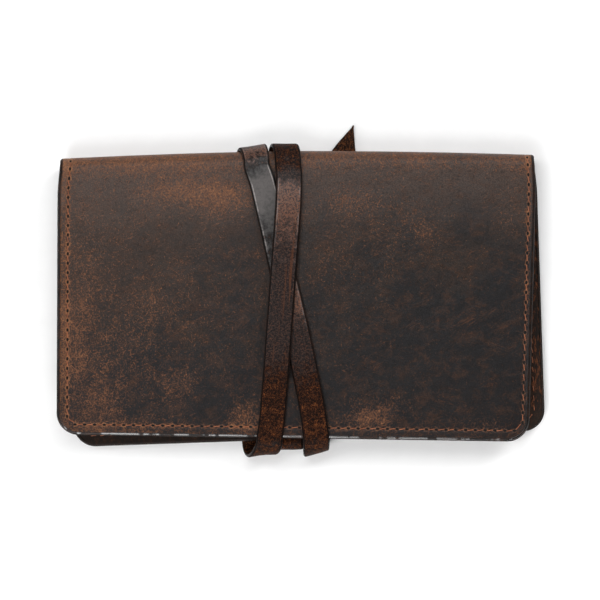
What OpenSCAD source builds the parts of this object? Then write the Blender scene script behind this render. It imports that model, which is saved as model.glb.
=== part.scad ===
// Leather brush roll case: a folded two-leaf case with a slotted inner pocket,
// held shut by a long strap wound twice round it. Millimetres.
// It lies on its back leaf: +Z is up, X runs along the fold, the fold is at +Y.

/* [Leaves] */
// Length of each leaf along the fold
leaf_w = 238; // [200:1:300]
// Depth of each leaf from the start of the bend to its free edge
leaf_d = 137; // [110:1:180]
// Radius of the free corners
corner_r = 11; // [4:0.5:20]
// Angle by which each leaf has slipped out of square about the fold
skew = 1.45; // [0:0.05:3]
// Thickness of the outer hide
hide_t = 2.0; // [1.2:0.1:3]
// Thickness of the lining leather
lining_t = 1.0; // [0.6:0.1:1.5]
// How far the lining's edge stays inside the hide's edge
lining_inset = 0.8; // [0.5:0.1:2]
// Height of the space between the two linings when the case is shut
inner_gap = 6.3; // [6.3:0.1:12]

/* [Spine] */
// Half of the angle that the spine piece covers
spine_half_angle = 78; // [70:1:80]

/* [Pocket] */
// Number of brush slots
slot_n = 6; // [3:1:6]
// Distance between slot centres
slot_pitch = 17; // [15:0.5:18]
// Length of the slots, from the closed end to the mouth
slot_len = 150; // [100:1:170]
// Height inside a slot
slot_h = 4.8; // [4:0.1:5]
// Half width inside a slot at its floor
slot_floor = 6.6; // [5:0.1:7]
// Half width inside a slot at its roof
slot_roof = 4.6; // [3:0.1:5]
// Thickness of the pocket leather
pocket_t = 1.2; // [0.8:0.1:1.2]

/* [Stitching] */
// Distance from a leaf's edge to its row of stitches
seam_inset = 5.3; // [3:0.1:8]
// Length of one visible stitch
stitch_len = 4.1; // [3:0.1:4.5]
// Thickness of the thread
thread_w = 0.8; // [0.5:0.1:1]
// How far a stitch stands proud of the leather
proud = 0.1; // [0.05:0.05:0.2]

/* [Strap] */
// Width of the strap
strap_w = 13; // [10:0.5:13]
// Thickness of the strap
strap_t = 2.0; // [1.4:0.1:2]
// Width left at the very end of the pointed tip
tip_w = 1.4; // [1:0.1:3]

/* [Hidden] */
$fn = 96;
gap = 0.2;                                  // strap to hide, where they lie together
lip = 0.1;                                  // the leaves reach this far past the bend's start
z_back = strap_t + gap;                     // underside of the back leaf
z_floor = z_back + hide_t + lining_t;       // inner face of the back lining
z_ceil = z_floor + inner_gap;               // inner face of the front lining
z_top = z_ceil + lining_t + hide_t;         // outer face of the front leaf
z_mid = (z_back + z_top) / 2;
r_out = (z_top - z_back) / 2;               // outside of the bend
r_hide = r_out - hide_t;
r_in = r_hide - lining_t;
y_bend = 62.75;                             // start of the bend
seam_x = leaf_w / 2 - seam_inset;
seam_turn = 4;                              // where a row stops short of its corner
side_n = 26;
side_pitch = (leaf_d - seam_inset - seam_turn) / side_n;
foot_n = 45;
foot_pitch = 2 * (seam_x - seam_turn) / foot_n;
shell_t = hide_t + lining_t;

// The pocket lies square to the back leaf, centred between the fold and the free edge.
pocket_x = -110;                            // the pocket's closed end
pocket_y = -62;                             // from the bend's start
pocket_margin = 4;
pocket_half = slot_n * slot_pitch / 2 + pocket_margin;
slot_seam_n = 30;
slot_seam_pitch = (slot_len - 4) / slot_seam_n;

// The strap's heights, at the middle of its thickness.
hw = strap_w / 2;
lo = strap_t / 2;                           // under the case
hi = z_top + 0.4 + strap_t / 2;             // on the front leaf
over = hi + strap_t + 0.3;                  // where it crosses over itself
root_gap = 0.15;                            // strap to lining, over the row of stitches
root = z_floor + root_gap + strap_t / 2;    // on the back lining

// The strap is a run of stations: x, y, z, the turn of its width, and its half width.
root_run = [[-5, -56, root, 0, hw], [-5, -75.4, root, 0, hw]];
rise_1 = [
    [-5, -75.4, lo, 0, hw], [-5, -72, lo, 0, hw], [-6, 58, lo, 0, hw], [-6, 62.5, lo, 0, hw]
];
front_b = [
    [-4.5, 63, 16.9, -1, hw], [-4.5, 58, 17.8, -1, hw], [-4.6, 54, over, -1, hw],
    [-5, 45, over, -2, hw], [-6, 27, over, -4, hw], [-7.5, 8, over, -5, hw],
    [-10.5, -28, over, -5, hw], [-11.2, -38, over, -5, hw], [-12, -46, 17.2, -5, hw],
    [-12.7, -54, 16.3, -5, hw], [-13.5, -63, hi, -6, hw], [-15, -73, hi, -8, hw]
];
rise_2 = [
    [-21.5, -75.4, lo, 20, hw], [-23.5, -66, lo, 12, hw], [-24.5, -50, lo, 3, hw],
    [-24.5, 0, lo, 0, hw], [-23.6, 62.5, lo, 2, hw]
];
front_a = [
    [-20.4, 63, hi, 15, hw], [-17.7, 54, hi, 14, hw], [-12.7, 32, hi, 12, hw],
    [-7.4, 7, hi, 12, hw], [-0.7, -23, hi, 12, hw], [4.3, -49, hi, 10, hw], [7.5, -69, hi, 7, hw],
    [8, -73, hi, 7, hw]
];
rise_3 = [
    [10, -75.4, lo, 8, hw], [10.5, -66, lo, -1, hw], [12.3, -30, lo, -4, hw],
    [15.5, 10, lo, -7, hw], [20.5, 50, lo, -11, hw], [23.6, 68.5, lo, -15, hw],
    [28.1, 83.1, lo, -17, tip_w / 2]
];
route = concat(
    root_run, turn(root_run[1], rise_1[0], -3.1, 8),
    rise_1, turn(rise_1[3], front_b[0], 9.3, 14),
    front_b, turn(front_b[11], rise_2[0], -8, 14),
    rise_2, turn(rise_2[4], front_a[0], 9.3, 14),
    front_a, turn(front_a[7], rise_3[0], -7.4, 14),
    rise_3
);

function mix(a, b, s) = a + (b - a) * s;
function unit(v) = v / norm(v);

// Half a turn round an edge of the case, from station p to station q.
function turn(p, q, reach, n) = [
    for (i = [1:n - 1])
        let (s = i / n, c = (1 - cos(180 * s)) / 2)
        [mix(p[0], q[0], c), mix(p[1], q[1], s) + reach * sin(180 * s), mix(p[2], q[2], c),
         mix(p[3], q[3], s), hw]
];

function spot(p) = [p[0], p[1], p[2]];

// The four corners of the strap's section at station i of a run.
function section(run, i) =
    let (
        last = len(run) - 1,
        along = unit(spot(run[min(i + 1, last)]) - spot(run[max(i - 1, 0)])),
        flat = [cos(run[i][3]), sin(run[i][3]), 0],
        face = unit(cross(along, flat)),
        across = cross(face, along) * run[i][4],
        deep = face * strap_t / 2,
        c = spot(run[i])
    )
    [c - across - deep, c + across - deep, c + across + deep, c - across + deep];

module ribbon(run) {
    n = len(run);
    polyhedron(
        points = [for (i = [0:n - 1]) each section(run, i)],
        faces = concat(
            [[0, 1, 2], [0, 2, 3]],
            [for (i = [0:n - 2], k = [0:3]) [4 * i + k, 4 * i + 4 + k, 4 * i + (k + 1) % 4]],
            [for (i = [0:n - 2], k = [0:3])
                [4 * i + (k + 1) % 4, 4 * i + 4 + k, 4 * i + 4 + (k + 1) % 4]],
            [[4 * n - 4, 4 * n - 2, 4 * n - 3], [4 * n - 4, 4 * n - 1, 4 * n - 2]]
        )
    );
}

// A leaf's outline: the bend starts at y = 0 and the free edge is at -d.
module outline(w, d, r) {
    translate([-w / 2, r - d]) square([w, d - r + 6]);
    translate([r - w / 2, -d]) square([w - 2 * r, d]);
    for (s = [-1, 1]) translate([s * (w / 2 - r), r - d]) circle(r);
}

// One layer of a leaf, turned by its slip and cut off where the bend starts.
module layer(turn_deg, inset, z, t) {
    intersection() {
        translate([0, y_bend, z]) rotate([0, 0, turn_deg]) linear_extrude(t)
            outline(leaf_w - 2 * inset, leaf_d - inset, corner_r - inset);
        translate([-leaf_w, y_bend + lip - 2 * leaf_d, 0]) cube([2 * leaf_w, 2 * leaf_d, 40]);
    }
}

module arc_sector(ro, ri, half) {
    intersection() {
        difference() {
            circle(ro);
            circle(ri);
        }
        polygon([[0, 0], for (k = [-2:2]) 20 * [cos(k * half / 2), sin(k * half / 2)]]);
    }
}

// Sets a profile of the bend across the case, centred on x = 0.
module along_fold(w) {
    translate([0, y_bend, z_mid]) rotate([90, 0, 90]) linear_extrude(w, center = true) children();
}

// One stitch: a closed loop of thread through a thickness t, lying along X.
module stitch(t) {
    rotate([90, 0, 0]) translate([0, 0, -thread_w / 2]) linear_extrude(thread_w) difference() {
        translate([-stitch_len / 2, -proud]) square([stitch_len, t + 2 * proud]);
        translate([thread_w - stitch_len / 2, thread_w - proud])
            square([stitch_len - 2 * thread_w, t + 2 * (proud - thread_w)]);
    }
}

// The row of stitches round a leaf's three free sides. The slip lifts one side row into the
// bend, so that row starts one stitch lower.
module leaf_seam(t, turn_deg) {
    for (s = [-1, 1], i = [s * turn_deg > 0 ? 1 : 0:side_n - 1])
        translate([s * seam_x, -(i + 0.5) * side_pitch, 0]) rotate([0, 0, 90]) stitch(t);
    for (i = [0:foot_n - 1])
        translate([seam_turn - seam_x + (i + 0.5) * foot_pitch, seam_inset - leaf_d, 0]) stitch(t);
    for (s = [-1, 1])
        translate([s * (seam_x - seam_turn / 2), seam_inset - leaf_d + seam_turn / 2, 0])
            rotate([0, 0, s * 45]) stitch(t);
}

module on_leaf(turn_deg, z) {
    translate([0, y_bend, z]) rotate([0, 0, turn_deg]) children();
}

// The pocket's section across the slots, seen from the mouth: y across, z up.
module pocket_profile() {
    wall = pocket_t;
    square([2 * pocket_half, wall]);
    for (i = [0:slot_n - 1])
        translate([pocket_margin + (i + 0.5) * slot_pitch, 0])
            polygon([
                [-slot_floor - wall, 0], [slot_floor + wall, 0],
                [slot_roof + wall * 0.7, slot_h + wall], [-slot_roof - wall * 0.7, slot_h + wall]
            ]);
}

module slot_profile() {
    for (i = [0:slot_n - 1])
        translate([pocket_margin + (i + 0.5) * slot_pitch, -1])
            polygon([
                [-slot_floor, 0], [slot_floor, 0], [slot_floor, 1],
                [slot_roof, slot_h + 1], [-slot_roof, slot_h + 1], [-slot_floor, 1]
            ]);
}

module along_slots(len) {
    translate([0, -pocket_half, 0]) rotate([90, 0, 90]) linear_extrude(len) children();
}

// Which piece to build, or all of them

module back_cover() {
    color([0.23, 0.18, 0.15]) layer(skew, 0, z_back, hide_t);
}

module back_lining() {
    color([0.42, 0.30, 0.22]) layer(skew, lining_inset, z_back + hide_t, lining_t);
}

module brush_pocket() {
    color([0.34, 0.23, 0.16]) on_leaf(skew, z_floor) translate([pocket_x, pocket_y, 0])
        difference() {
            along_slots(slot_len) pocket_profile();
            translate([pocket_t, 0, 0]) along_slots(slot_len) slot_profile();
        }
}

module back_seam_thread() {
    color([0.72, 0.36, 0.16]) on_leaf(skew, z_back) leaf_seam(shell_t, skew);
}

module slot_seam_thread() {
    sewn = pocket_t + lining_t * 0.6;
    color([0.75, 0.40, 0.18]) on_leaf(skew, z_floor - lining_t * 0.6)
        translate([pocket_x, pocket_y - pocket_half, 0]) {
            for (i = [0:slot_n], k = [0:slot_seam_n - 1])
                translate([4 + (k + 0.5) * slot_seam_pitch, pocket_margin + i * slot_pitch, 0])
                    stitch(sewn);
        }
}

module strap() {
    color([0.30, 0.17, 0.11]) ribbon(route);
}

module strap_anchor_thread() {
    sewn = strap_t + root_gap + lining_t * 0.6;
    color([0.72, 0.36, 0.16]) translate([-5, -62.2, z_floor - lining_t * 0.6]) {
        for (x = [-4.6, 4.6], y = [-2.5, 2.5]) translate([x, y, 0]) rotate([0, 0, 90]) stitch(sewn);
        for (x = [-2.3, 2.3], y = [-5, 5]) translate([x, y, 0]) stitch(sewn);
    }
}

module spine_cover() {
    color([0.23, 0.18, 0.15]) along_fold(leaf_w) arc_sector(r_out, r_hide, spine_half_angle);
}

module spine_lining() {
    color([0.42, 0.30, 0.22]) along_fold(leaf_w - 2 * lining_inset)
        arc_sector(r_hide, r_in, spine_half_angle);
}

module spine_thread() {
    half = 90 * stitch_len / (PI * r_out);
    leg = half - 180 * thread_w / (PI * r_hide);
    color([0.72, 0.36, 0.16])
        for (s = [-1, 1], a = [-50, 0, 50])
            translate([s * seam_x, 0, 0]) along_fold(thread_w) rotate(a) difference() {
                arc_sector(r_out + proud, r_in - proud, half);
                arc_sector(r_out + proud - thread_w, r_in - proud + thread_w, leg);
            }
}

module front_cover() {
    color([0.23, 0.18, 0.15]) layer(-skew, 0, z_ceil + lining_t, hide_t);
}

module front_lining() {
    color([0.42, 0.30, 0.22]) layer(-skew, lining_inset, z_ceil, lining_t);
}

module front_seam_thread() {
    color([0.72, 0.36, 0.16]) on_leaf(-skew, z_ceil) leaf_seam(shell_t, -skew);
}

back_cover();
back_lining();
brush_pocket();
back_seam_thread();
slot_seam_thread();
strap();
strap_anchor_thread();
spine_cover();
spine_lining();
spine_thread();
front_cover();
front_lining();
front_seam_thread();
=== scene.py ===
"""Looks of the leather brush case: distressed hide leaves, stitched edges, slotted pocket and wound strap.

Lengths are in millimetres until a mesh is made. A leaf's pattern coordinates are (x, t, h): x along the
fold, t from the start of the bend towards the free edge (negative round the bend), h below the outer face.
"""

import math

import bpy
import numpy as np
from mathutils import Matrix, Vector


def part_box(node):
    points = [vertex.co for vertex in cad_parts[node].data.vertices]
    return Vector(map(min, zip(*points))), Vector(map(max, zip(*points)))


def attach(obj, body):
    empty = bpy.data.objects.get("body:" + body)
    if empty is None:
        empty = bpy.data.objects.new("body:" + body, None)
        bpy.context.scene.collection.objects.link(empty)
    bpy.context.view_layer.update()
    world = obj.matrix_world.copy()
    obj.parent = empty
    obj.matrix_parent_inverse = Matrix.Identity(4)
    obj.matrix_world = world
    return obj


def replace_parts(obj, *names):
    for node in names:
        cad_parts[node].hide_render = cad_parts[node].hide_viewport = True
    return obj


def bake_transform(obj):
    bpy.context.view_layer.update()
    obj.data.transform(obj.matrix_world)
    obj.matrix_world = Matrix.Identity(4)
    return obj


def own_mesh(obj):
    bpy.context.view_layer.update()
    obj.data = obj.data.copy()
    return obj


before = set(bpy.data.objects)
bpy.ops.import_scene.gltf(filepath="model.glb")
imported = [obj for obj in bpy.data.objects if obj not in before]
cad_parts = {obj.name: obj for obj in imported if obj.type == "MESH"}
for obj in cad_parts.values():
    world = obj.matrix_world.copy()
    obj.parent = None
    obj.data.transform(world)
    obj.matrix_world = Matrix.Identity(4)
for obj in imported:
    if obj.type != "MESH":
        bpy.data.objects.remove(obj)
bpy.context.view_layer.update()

MM = 0.001


def node_box(name):
    """A CAD node's lowest and highest corners, in millimetres."""
    low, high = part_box(name)
    return np.array(low) / MM, np.array(high) / MM


# ------------ sizes, from the frame
back_low, back_high = node_box("back_cover")
front_low, front_high = node_box("front_cover")
lining_low, lining_high = node_box("back_lining")
spine_low, spine_high = node_box("spine_cover")

LIP = 0.1                           # the back leaf's hide runs on this far into the bend
SKEW = math.radians(1.45)           # the back leaf lies turned by this under the front leaf
Z_BACK, Z_TOP = back_low[2], front_high[2]
HIDE_T = back_high[2] - back_low[2]
LINING_T = lining_high[2] - lining_low[2]
SHELL_T = HIDE_T + LINING_T
Z_MID = (Z_BACK + Z_TOP) / 2
R_OUT = (Z_TOP - Z_BACK) / 2
Y_BEND = back_high[1] - LIP
LEAF_W = spine_high[0] - spine_low[0]
LEAF_D = 137.0
CORNER_R = 11.0
ARC = R_OUT * math.pi / 2

SEAM_INSET = 5.3
SEAM_TURN = 4.0                     # the row of stitches cuts each corner by this
SEAM_SHIFT = 0.9                    # the rows lie this much to the right in front, and to the left behind
SEAM_X = LEAF_W / 2 - SEAM_INSET + SEAM_SHIFT
SEAM_T = LEAF_D - SEAM_INSET
SIDE_N, FOOT_N = 26, 45
SIDE_PITCH = (SEAM_T - SEAM_TURN) / SIDE_N
FOOT_PITCH = 2 * (SEAM_X - SEAM_TURN) / FOOT_N
THREAD_R = 0.24

STRAP_W, STRAP_T, STRAP_EDGE_R = 13.2, 1.9, 0.85


# ------------ meshes
def smooth_step(edge0, edge1, v):
    s = np.clip((v - edge0) / (edge1 - edge0), 0, 1)
    return s * s * (3 - 2 * s)


def new_object(name, data):
    """An object with that data, in the scene."""
    obj = bpy.data.objects.new(name, data)
    bpy.context.scene.collection.objects.link(obj)
    return obj


def make_object(name, verts, faces, pattern, wear=None, second=None):
    """A mesh object from points in millimetres. pattern is kept as an attribute, for the materials.

    wear is a value for each point, and second is true for each face that has the second material."""
    mesh = bpy.data.meshes.new(name)
    mesh.from_pydata((np.asarray(verts) * MM).tolist(), [], [tuple(map(int, f)) for f in faces])
    mesh.validate()
    attribute = mesh.attributes.new("pattern", "FLOAT_VECTOR", "POINT")
    attribute.data.foreach_set("vector", np.asarray(pattern, np.float32).ravel())
    if wear is not None:
        worn = mesh.attributes.new("wear", "FLOAT", "POINT")
        worn.data.foreach_set("value", np.asarray(wear, np.float32).ravel())
    mesh.polygons.foreach_set("use_smooth", [True] * len(mesh.polygons))
    if second is not None:
        mesh.polygons.foreach_set("material_index", np.asarray(second, np.int32))
    mesh.update()
    return new_object(name, mesh)


def grid_faces(rows, cols, offset=0, flip=False, wrap=False):
    """Quads of a rows x cols grid of points stored row by row; wrap joins the last column to the first."""
    r = np.arange(rows - 1)[:, None]
    c = np.arange(cols if wrap else cols - 1)[None, :]
    nxt = (c + 1) % cols
    a, b = r * cols + c, r * cols + nxt
    d, e = (r + 1) * cols + c, (r + 1) * cols + nxt
    quads = np.stack([a, b, e, d] if not flip else [a, d, e, b], axis=-1).reshape(-1, 4)
    return quads + offset


# ------------ the leaves' shape
# Corners of each leaf in plan, as it lies shut: fold left, free left, free right, fold right.
FRONT_PLAN = np.array([(-120.0, Y_BEND), (-121.6, -71.2), (114.4, -77.1), (119.8, Y_BEND)])
BACK_PLAN = np.array([(-119.4, Y_BEND), (-113.0, -77.2), (122.9, -71.2), (119.9, Y_BEND)])


def bow(x):
    """How far the fold is drawn in towards its ends, as a share of the most."""
    return np.abs((x + 4) / 119) ** 1.7


BOW_SHIFT, BOW_TIGHTER = 1.1, 1.8   # at the ends: the bend starts earlier, and its arc is shallower
ARC_REACH = 1.18                    # how much further the bend reaches out than a round one
FOLD_PINCH = 0.010                  # how much narrower the leather is at the crest of the fold
DOME = 1.1                          # how much lower the front leaf is at the fold than in its middle
CROWN = 0.35                        # how far the front leaf's middle stands over its flat
PRESS_HALF_W = 10.5                 # half the width of the dent that a strap presses

# Strap crossings on the front leaf, as lines from the fold to the free edge, and how deep each presses.
PRESSES = [((-20, 62), (8, -73), 0.30), ((-4.5, 62), (-15, -73), 0.22)]


def lift(x, t, side):
    """Height of the outer face above its flat, for side 1 (front) or -1 (back)."""
    inside = smooth_step(0, 22, t)
    if side < 0:
        return 0.10 * np.sin(x / 31 + 1.1) * np.sin(t / 37) * inside
    crown = DOME * (smooth_step(-ARC * 0.5, 34, t) - 1) + CROWN
    wave = (0.13 * np.sin(x / 26 + 0.6) * np.cos(t / 33 + 0.4)
            + 0.09 * np.sin(x / 13 - t / 21 + 2.0)
            + 0.05 * np.cos(x / 8.1 + t / 9.7))
    total = wave * inside + crown
    y = Y_BEND - t
    for (x0, y0), (x1, y1), depth in PRESSES:
        centre = x0 + (x1 - x0) * (y0 - y) / (y0 - y1)
        total -= depth * np.exp(-(((x - centre) / PRESS_HALF_W) ** 4)) * inside
    return total


def place(x, t, h, side):
    """Pattern coordinates of a leaf to points of the shut case. side is 1 for the front, -1 for the back."""
    x, t, h = np.broadcast_arrays(*(np.asarray(v, float) for v in (x, t, h)))
    plan = FRONT_PLAN if side > 0 else BACK_PLAN
    u, v = x / LEAF_W + 0.5, np.maximum(t, 0) / LEAF_D
    flat = ((1 - u)[..., None] * ((1 - v)[..., None] * plan[0] + v[..., None] * plan[1])
            + u[..., None] * ((1 - v)[..., None] * plan[3] + v[..., None] * plan[2]))
    phi = np.clip(-t / R_OUT, 0, None)
    radius = R_OUT - h
    pinch = 1 - FOLD_PINCH * smooth_step(14, -6, t)
    px = flat[..., 0] * pinch
    drawn = bow(px)
    py = (flat[..., 1] - BOW_SHIFT * drawn * smooth_step(70, 0, t)
          + radius * np.sin(phi) * (ARC_REACH - BOW_TIGHTER / R_OUT * drawn))
    pz = Z_MID + side * (radius + lift(x, t, side)) * np.cos(phi)
    return np.stack([px, py, pz], axis=-1)


def seam_distance(x, t, side):
    """Signed distance from the row of stitches that runs round the leaf's free sides, outwards positive."""
    a, b = np.abs(x - side * SEAM_SHIFT) - SEAM_X, t - SEAM_T
    return np.maximum(np.maximum(a, b), (a + b + SEAM_TURN) / math.sqrt(2))


def worn_places(x, t, places):
    """Sum of soft patches, each (x, t, radius across, radius along, strength)."""
    total = np.zeros(np.broadcast(x, t).shape)
    for px, pt, rx, rt, strength in places:
        total += strength * np.exp(-(((x - px) / rx) ** 2 + ((t - pt) / rt) ** 2))
    return total


FRONT_WEAR = [
    (38, 127, 12, 6, 0.62), (48, 118, 16, 8, 0.18), (-98, 120, 14, 12, 0.32), (-105, 60, 9, 30, 0.18),
    (-88, 95, 22, 14, 0.12), (-52, 12, 26, 7, 0.40), (-34, 18, 20, 9, 0.35), (30, 20, 22, 9, 0.35),
    (60, 34, 22, 12, 0.25), (-24, 128, 10, 8, 0.35), (-12, 126, 6, 10, 0.30), (-75, 72, 26, 16, 0.13),
    (88, 128, 26, 6, 0.30), (-110, 95, 6, 24, 0.27), (12, 124, 8, 8, 0.30), (104, 20, 10, 20, 0.25),
    (20, 55, 28, 16, 0.12), (-60, 110, 18, 10, 0.20),
]
BACK_WEAR = [
    (-60, 100, 40, 20, 0.35), (55, 40, 30, 26, 0.30), (90, 115, 16, 14, 0.45), (-95, 30, 14, 30, 0.30),
    (10, 70, 40, 18, 0.25), (112, 80, 6, 50, 0.45), (112, 120, 7, 14, 0.5),
]


GROOVE_STEPS = (-1.1, -0.45, 0, 0.45, 1.1)    # where the grid is closer together, from a row of stitches


def leaf_rows():
    """Rows of t for a leaf's grid, with the corner's angle for each: None where the sides are straight."""
    bend = np.linspace(-ARC, 0, 15)[:-1]
    straight = LEAF_D - CORNER_R
    flat = np.linspace(0, straight, 56)
    angles = np.linspace(0, 90, 15)[1:]
    seam = [math.degrees(math.asin((SEAM_T + d - straight) / CORNER_R)) for d in GROOVE_STEPS]
    angles = np.unique(np.round(np.concatenate([angles, seam]), 2))
    rows = [(t, None) for t in np.concatenate([bend, flat])]
    return rows + [(None, math.radians(a)) for a in angles]


def leaf_columns():
    """Columns as shares of the half width, closer together at the rows of stitches."""
    near = SEAM_X - SEAM_SHIFT + np.array([*GROOVE_STEPS, 1.65])
    far = SEAM_X + SEAM_SHIFT + np.array([0, 1.1])
    seam = np.sort(np.concatenate([near, far])) / (LEAF_W / 2)
    edge = np.array([0.9935, 1.0])
    right = np.concatenate([np.linspace(0, 0.93, 50), seam, edge])
    return np.concatenate([-right[:0:-1], right])


def leaf_outline(d):
    """Pattern points of a leaf's grid, as (rows, columns) arrays, for an outline d inside the leaf's edge."""
    u = leaf_columns()
    xs, ts = [], []
    for t, angle in leaf_rows():
        if angle is None:
            half, row_t = LEAF_W / 2 - d, t
        else:
            half = LEAF_W / 2 - CORNER_R + (CORNER_R - d) * math.cos(angle)
            row_t = LEAF_D - CORNER_R + (CORNER_R - d) * math.sin(angle)
        xs.append(u * half)
        ts.append(np.full(len(u), row_t))
    return np.array(xs), np.array(ts)


RIM_BANDS = 9          # bands of faces round a leaf's rim, from the outer face, that carry edge paint
GROOVE_DEPTH = 0.20    # how deep the stitches are pulled into the outer face
GROOVE_HALF_W = 0.75


def edge_profile(top_h, bottom_h, r_top, r_bottom):
    """The leaf's rim from the outer face to the inner face, as (distance inside the outline, h)."""
    points = [(r_top * (1 - math.sin(a)), top_h + r_top * (1 - math.cos(a)))
              for a in np.radians(np.linspace(0, 90, 7))]
    points += [(r_bottom * (1 - math.cos(a)), bottom_h - r_bottom * (1 - math.sin(a)))
               for a in np.radians(np.linspace(0, 90, 5))]
    return points


def leaf_sheet(name, side, top_h, thick, inset, r_top, r_bottom, wear_places, grooved):
    """One layer of a leaf, from the fold's crest to its free edge, as a closed sheet with a rounded rim."""
    profile = [(d + inset, h) for d, h in edge_profile(top_h, top_h + thick, r_top, r_bottom)]
    outer_x, outer_t = leaf_outline(profile[0][0])
    rows, cols = outer_x.shape
    seam = seam_distance(outer_x, outer_t, side)
    groove = grooved * GROOVE_DEPTH * np.exp(-((seam / GROOVE_HALF_W) ** 2))
    outer_h = np.full(outer_x.shape, profile[0][1]) + groove
    inner_x, inner_t = leaf_outline(profile[-1][0])
    inner_h = np.full(inner_x.shape, profile[-1][1]) - groove * 0.6

    def border(grid):
        """Values of a grid along its left side, free edge and right side."""
        return np.concatenate([grid[:, 0], grid[-1, 1:-1], grid[::-1, -1]])

    layers = [(outer_x.ravel(), outer_t.ravel(), outer_h.ravel())]
    for d, h in profile[1:-1]:
        gx, gt = leaf_outline(d)
        bx = border(gx)
        layers.append((bx, border(gt), np.full(len(bx), h)))
    layers.append((inner_x.ravel(), inner_t.ravel(), inner_h.ravel()))
    x, t, h = (np.concatenate([layer[k] for layer in layers]) for k in range(3))
    verts = place(x, t, h, side)

    index = np.arange(rows * cols).reshape(rows, cols)
    ring_n = 2 * rows + cols - 2
    rings = [border(index)]
    for k in range(len(profile) - 2):
        rings.append(rows * cols + k * ring_n + np.arange(ring_n))
    inner_offset = rows * cols + (len(profile) - 2) * ring_n
    rings.append(border(index) + inner_offset)
    faces = [grid_faces(rows, cols, 0, flip=side > 0), grid_faces(rows, cols, inner_offset, flip=side < 0)]
    for a, b in zip(rings[:-1], rings[1:]):
        quad = np.stack([a[:-1], a[1:], b[1:], b[:-1]], axis=-1)
        faces.append(quad[:, ::-1] if side < 0 else quad)
    crest = list(index[0]) + [ring[-1] for ring in rings[1:-1]]
    crest += list(index[0][::-1] + inner_offset) + [ring[0] for ring in rings[-2:0:-1]]
    in_rim = [np.full(len(block), 2 <= k < 2 + RIM_BANDS) for k, block in enumerate(faces)]
    painted = np.concatenate([*in_rim, [False]])
    faces = [tuple(f) for block in faces for f in block]
    faces.append(tuple(crest if side < 0 else crest[::-1]))
    wear = worn_places(x, t, wear_places)
    return make_object(name, verts, faces, np.stack([x, t, h], axis=-1), wear=wear, second=painted)


# ------------ thread
def tubes(paths, radius, sides=8):
    """Round tubes along paths, an array (n, points, 3) in pattern space: points, faces and pattern values.

    The pattern values are the turn round the tube, the share of its length and the tube's number."""
    paths = np.asarray(paths, float)
    count, length, _ = paths.shape
    along = np.gradient(paths, axis=1)
    along /= np.linalg.norm(along, axis=2, keepdims=True)
    up = np.array([0.0, 0.0, 1.0])
    across = np.cross(along, up)
    across /= np.maximum(np.linalg.norm(across, axis=2, keepdims=True), 1e-9)
    normal = np.cross(across, along)
    angles = np.linspace(0, 2 * math.pi, sides, endpoint=False)
    ring = (np.cos(angles)[:, None, None, None] * across + np.sin(angles)[:, None, None, None] * normal)
    points = paths[None] + ring * radius
    points = points.transpose(1, 2, 0, 3).reshape(-1, 3)
    one = grid_faces(length, sides, wrap=True)
    caps = [np.arange(sides)[::-1], np.arange(sides) + (length - 1) * sides]
    faces = []
    for k in range(count):
        base = k * length * sides
        faces += [tuple(f) for f in one + base] + [tuple(c + base) for c in caps]
    turn = np.broadcast_to(angles[None, None, :], (count, length, sides)).ravel()
    run = np.broadcast_to(np.linspace(0, 1, length)[None, :, None], (count, length, sides)).ravel()
    number = np.broadcast_to(np.arange(count)[:, None, None], (count, length, sides)).ravel()
    return points, faces, np.stack([turn, run, number], axis=-1)


def stitch_path(start, end, slant, rise, sink, steps=9):
    """A stitch between two holes in pattern space: it slants across the row and bows out of the leather."""
    s = np.linspace(0, 1, steps)
    start, end = np.asarray(start, float), np.asarray(end, float)
    run = end - start
    length = np.linalg.norm(run)
    side = np.array([-run[1], run[0]]) / length
    reach = 0.04 + 0.92 * s
    flat = start + run * reach[:, None] + side * (slant * np.cos(math.pi * s))[:, None]
    height = rise * np.sin(math.pi * s) ** 0.55 - sink * np.abs(np.cos(math.pi * s)) ** 3
    return np.column_stack([flat, height])


def leaf_holes(side):
    """Pairs of neighbouring holes round a leaf, in (x, t), from the left crest round to the right crest."""
    corner_t, corner_x = SEAM_T - SEAM_TURN, SEAM_X - SEAM_TURN
    bend_n = int(ARC / SIDE_PITCH)
    down = [(-SEAM_X, corner_t - k * SIDE_PITCH) for k in range(SIDE_N + bend_n, -1, -1)]
    foot = [(-corner_x + k * FOOT_PITCH, SEAM_T) for k in range(FOOT_N + 1)]
    up = [(-x, t) for x, t in down[::-1]]
    row = [(x + side * SEAM_SHIFT, t) for x, t in down + foot + up]
    return list(zip(row[:-1], row[1:]))


def leaf_thread(name, side):
    """Both faces of a leaf's perimeter stitching, shaped in pattern space and laid on the leaf."""
    rng = np.random.default_rng(17 + side)
    verts, faces, pattern, offset = [], [], [], 0
    outer_h, inner_h = 0.10, SHELL_T - 0.06
    for face_h, sign in ((outer_h, -1), (inner_h, 1)):
        paths = []
        for a, b in leaf_holes(side):
            lean = 0.26 + 0.07 * rng.standard_normal()
            path = stitch_path(a, b, lean, 0.30 + 0.05 * rng.standard_normal(), 0.7)
            path[:, 2] = face_h + sign * path[:, 2]
            paths.append(path)
        points, quads, marks = tubes(paths, THREAD_R)
        verts.append(place(*points.T, side))
        faces += [tuple(i + offset for i in f) for f in quads]
        pattern.append(marks)
        offset += len(points)
    return make_object(name, np.concatenate(verts), faces, np.concatenate(pattern))


# ------------ brush pocket
SLOT_N, SLOT_PITCH = 6, 17.0
POCKET_X, POCKET_LEN = -110.0, 150.0
POCKET_T = 62.0                     # the pocket's middle, from the bend's start
POCKET_MARGIN = 4.0
POCKET_HALF = SLOT_N * SLOT_PITCH / 2 + POCKET_MARGIN
POCKET_WALL = 1.2
SLOT_H = 4.7
SLOT_STITCHES = 30                  # in each row


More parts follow.
